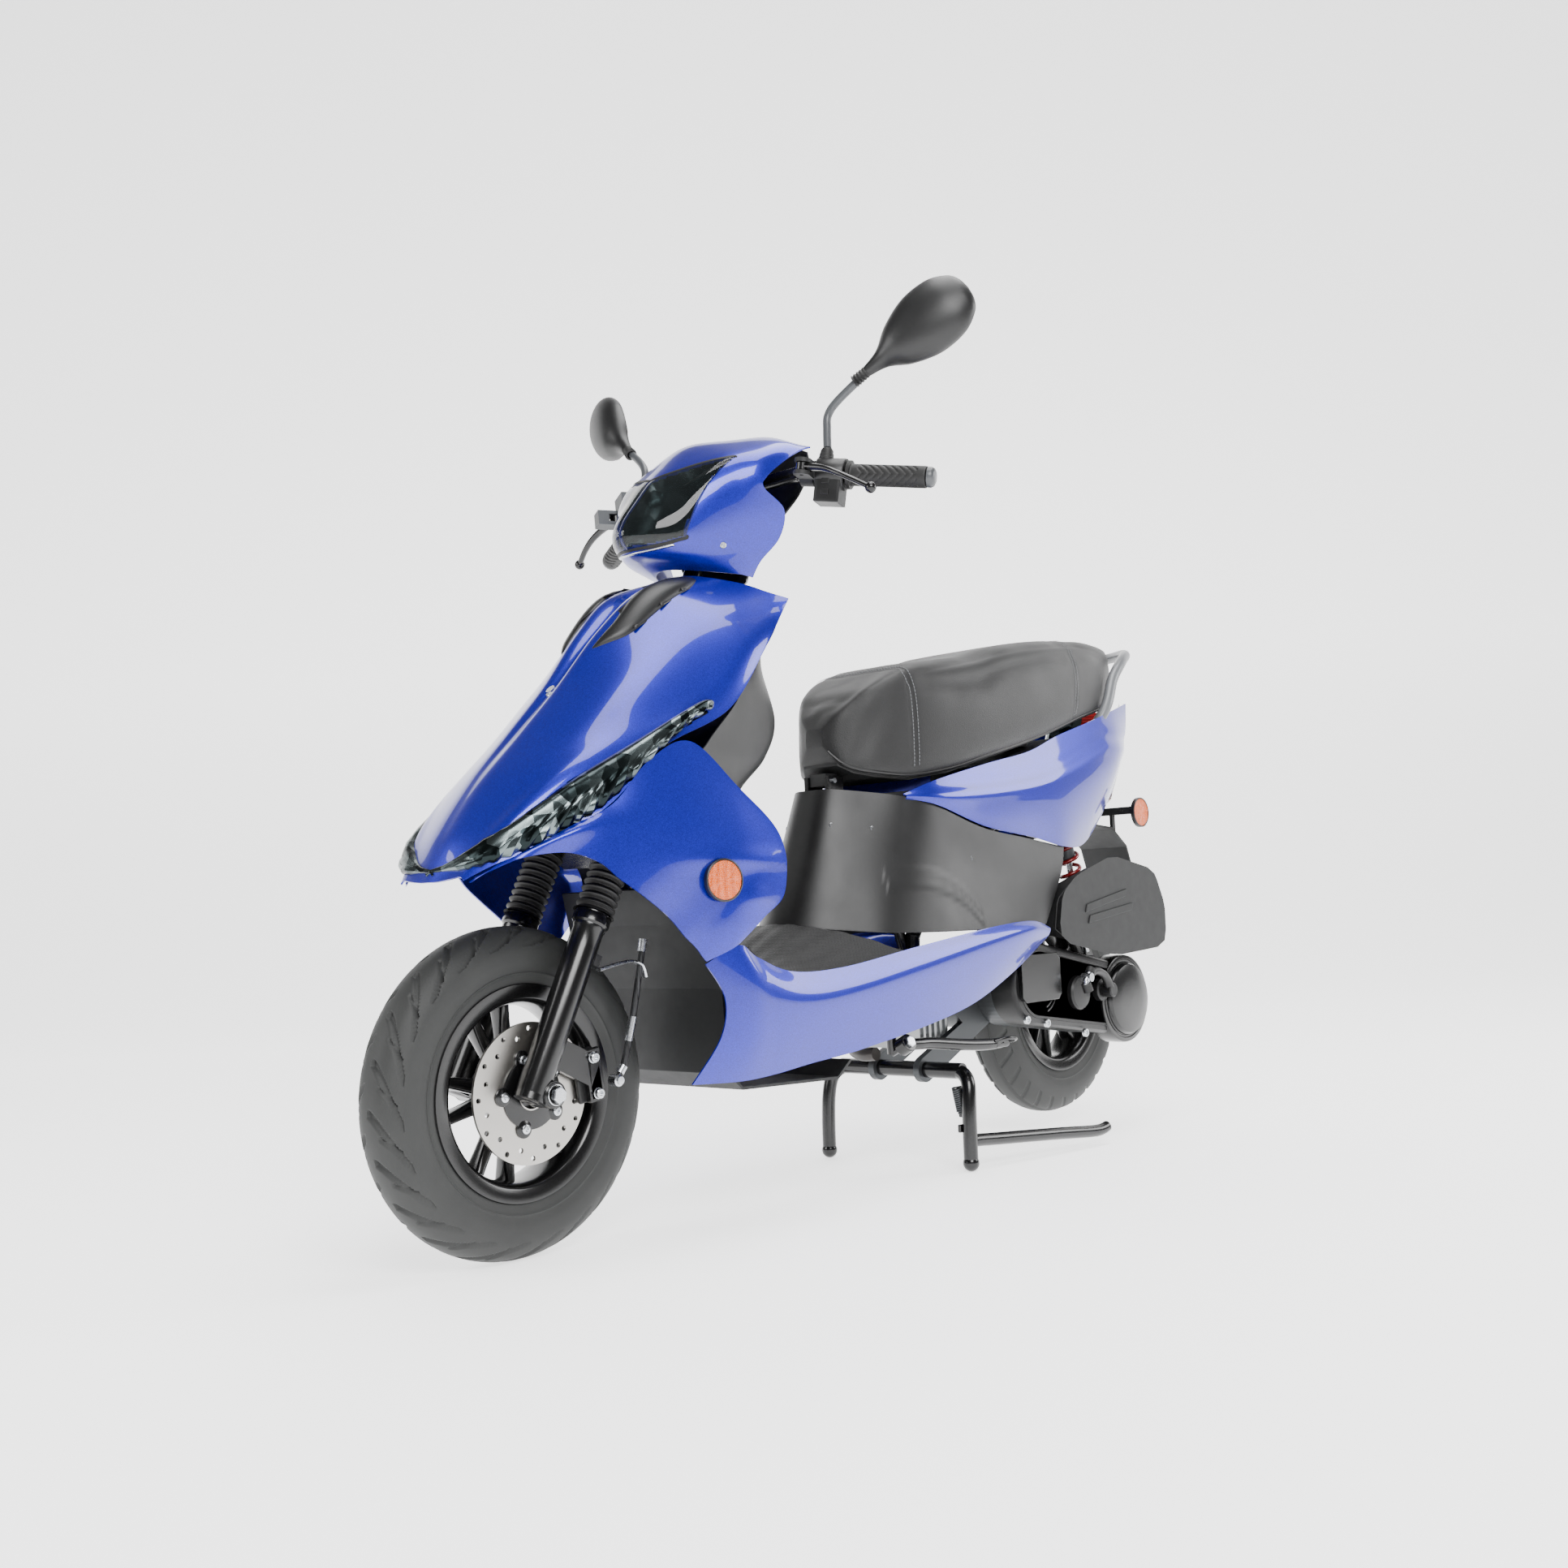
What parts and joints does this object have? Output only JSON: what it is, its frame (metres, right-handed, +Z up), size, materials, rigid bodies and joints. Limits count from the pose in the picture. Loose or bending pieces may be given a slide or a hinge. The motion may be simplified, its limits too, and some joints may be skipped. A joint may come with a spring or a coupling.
{
  "type": "moped scooter",
  "caption": "Step-through moped scooter with beaked front shield, disc front brake, padded two-step seat, belt-drive engine unit and centre stand.",
  "frame": {"origin": "middle of the scooter's bounding box, on the ground", "axes": "+X forward, +Y to the rider's left, +Z up"},
  "size_m": [1.8, 0.8178, 1.33],
  "materials": {
    "blue_panel": "metallic blue clear-coated moulding",
    "black_panel": "grained black moulding",
    "black_paint": "gloss black enamel",
    "smoked_lens": "smoked clear lens",
    "red_lens": "red lens",
    "amber_lens": "amber prismatic lens",
    "seat_vinyl": "grained black vinyl",
    "rubber": "moulded black rubber",
    "tyre_rubber": "black tyre rubber",
    "rim_paint": "gloss black cast alloy",
    "bright_steel": "bright steel",
    "cast_alloy": "cast aluminium",
    "dark_alloy": "dark painted alloy",
    "grey_paint": "grey satin paint",
    "spring_steel": "black coil spring"
  },
  "bodies": {
    "chassis": {"frame": "black_paint", "front_shield": "blue_panel", "leg_shield": "black_panel", "turn_lamps": "smoked_lens", "shield_vents": "black_panel", "side_skirts": "blue_panel", "floorboard": "rubber", "under_tray": "black_panel", "underseat_cover": "black_panel", "tail_panels": "blue_panel", "tail_lamp": "red_lens", "grab_rail": "grey_paint", "rear_fender": "black_panel", "reflectors": "amber_lens", "storage_bucket": "black_panel", "fuel_tank": "black_paint", "ignition_lock": "bright_steel", "head_bearings": "bright_steel", "body_screws": "bright_steel"},
    "seat": {"seat_pan": "black_panel", "seat_cushion": "seat_vinyl"},
    "steering": {"fork_yoke": "black_paint", "handlebar": "black_paint", "headlamp_cowl": "blue_panel", "dash_cover": "black_panel", "headlamp": "smoked_lens", "switch_left": "black_panel", "switch_right": "black_panel", "left_grip": "rubber", "master_cylinder": "dark_alloy", "mirror_stems": "grey_paint", "fork_gaiters": "rubber"},
    "throttle": {"throttle_grip": "rubber"},
    "lever_left": {"brake_lever_left": "dark_alloy"},
    "lever_right": {"brake_lever_right": "dark_alloy"},
    "mirror_head_left": {"mirror_left": "black_panel"},
    "mirror_head_right": {"mirror_right": "black_panel"},
    "key": {"ignition_key": "black_panel"},
    "horn": {"horn_button": "black_panel"},
    "starter": {"starter_button": "black_panel"},
    "fork": {"fork_sliders": "black_paint", "front_axle": "bright_steel", "brake_caliper": "dark_alloy", "brake_line": "bright_steel"},
    "front_wheel": {"front_tyre": "tyre_rubber", "front_rim": "rim_paint", "brake_disc": "bright_steel"},
    "engine": {"crankcase": "cast_alloy", "engine_top": "cast_alloy", "belt_case_cover": "dark_alloy", "airbox": "black_panel", "muffler": "black_paint"},
    "rear_wheel": {"rear_tyre": "tyre_rubber", "rear_rim": "rim_paint"},
    "main_stand": {"centre_stand": "black_paint"},
    "prop_stand": {"side_stand": "black_paint"},
    "kick": {"kick_lever": "black_paint"},
    "shock_upper": {"shock_body": "dark_alloy", "shock_spring": "spring_steel"},
    "shock_lower": {"shock_rod": "bright_steel"}
  },
  "joints": [
    {"name": "steering_turn", "type": "hinge", "parent": "chassis", "child": "steering", "pos_m": [0.6765, 0, 0.215], "axis": [-0.454, 0, 0.891], "range_deg": [-35, 35]},
    {"name": "front_suspension", "type": "slide", "parent": "steering", "child": "fork", "axis": [-0.454, 0, 0.891], "range_m": [0, 0.05], "stiffness_N_per_m": 9000, "springref_m": -0.05, "deforming": ["fork_gaiters"]},
    {"name": "front_wheel_spin", "type": "hinge", "parent": "fork", "child": "front_wheel", "pos_m": [0.685, 0, 0.215], "axis": [0, 1, 0], "continuous": true},
    {"name": "engine_swing", "type": "hinge", "parent": "chassis", "child": "engine", "pos_m": [-0.053, 0, 0.345], "axis": [0, 1, 0], "range_deg": [0, 3], "stiffness_Nm_per_rad": 1500, "springref_deg": -8.02},
    {"name": "rear_wheel_spin", "type": "hinge", "parent": "engine", "child": "rear_wheel", "pos_m": [-0.57, 0, 0.246], "axis": [0, 1, 0], "continuous": true},
    {"name": "centre_stand_fold", "type": "hinge", "parent": "engine", "child": "main_stand", "pos_m": [-0.133, 0, 0.156], "axis": [0, 1, 0], "range_deg": [0, 62]},
    {"name": "side_stand_fold", "type": "hinge", "parent": "chassis", "child": "prop_stand", "pos_m": [0.025, 0.138, 0.214], "axis": [-0.0899, -0.8888, -0.4494], "range_deg": [0, 96]},
    {"name": "kick_start", "type": "hinge", "parent": "engine", "child": "kick", "pos_m": [-0.537, 0.14, 0.258], "axis": [0, 1, 0], "range_deg": [0, 60], "stiffness_Nm_per_rad": 4, "springref_deg": -11.46},
    {"name": "shock_pivot", "type": "hinge", "parent": "chassis", "child": "shock_upper", "pos_m": [-0.515, 0.084, 0.64], "axis": [0, 1, 0], "range_deg": [-6, 6]},
    {"name": "shock_travel", "type": "slide", "parent": "shock_upper", "child": "shock_lower", "axis": [0.2411, 0, 0.9705], "range_m": [-0.002, 0.06], "deforming": ["shock_spring"]},
    {"name": "seat_hinge", "type": "hinge", "parent": "chassis", "child": "seat", "pos_m": [0.035, 0, 0.634], "axis": [0, 1, 0], "range_deg": [0, 70]},
    {"name": "throttle_twist", "type": "hinge", "parent": "steering", "child": "throttle", "pos_m": [0.163, -0.342, 1.042], "axis": [-0.4217, -0.8939, -0.1518], "range_deg": [0, 75], "stiffness_Nm_per_rad": 0.4, "springref_deg": -5.73},
    {"name": "left_brake_lever", "type": "hinge", "parent": "steering", "child": "lever_left", "pos_m": [0.2752, 0.20258, 1.06872], "axis": [-0.0648, 0.1373, 0.9884], "range_deg": [0, 14], "stiffness_Nm_per_rad": 2, "springref_deg": -5.73},
    {"name": "right_brake_lever", "type": "hinge", "parent": "steering", "child": "lever_right", "pos_m": [0.2752, -0.20258, 1.06872], "axis": [0.0648, 0.1373, -0.9884], "range_deg": [0, 14], "stiffness_Nm_per_rad": 2, "springref_deg": -5.73},
    {"name": "left_mirror_turn", "type": "hinge", "parent": "steering", "child": "mirror_head_left", "pos_m": [0.189, 0.263, 1.213], "axis": [-0.3599, 0.7558, 0.547], "range_deg": [-20, 20]},
    {"name": "right_mirror_turn", "type": "hinge", "parent": "steering", "child": "mirror_head_right", "pos_m": [0.189, -0.263, 1.213], "axis": [-0.3599, -0.7558, 0.547], "range_deg": [-20, 20]},
    {"name": "ignition_turn", "type": "hinge", "parent": "chassis", "child": "key", "pos_m": [0.231, -0.062, 0.8], "axis": [-1, 0, 0], "range_deg": [0, 90]},
    {"name": "horn_press", "type": "slide", "parent": "steering", "child": "horn", "axis": [0.9044, 0.4266, 0], "range_m": [0, 0.002], "stiffness_N_per_m": 800, "springref_m": -0.002},
    {"name": "starter_press", "type": "slide", "parent": "steering", "child": "starter", "axis": [0.9044, -0.4266, 0], "range_m": [0, 0.002], "stiffness_N_per_m": 800, "springref_m": -0.002}
  ],
  "couplings": [
    {"joint": "shock_pivot", "follows": "engine_swing", "ratio": 0.4695},
    {"joint": "shock_travel", "follows": "engine_swing", "m_per_rad": 0.5223}
  ]
}
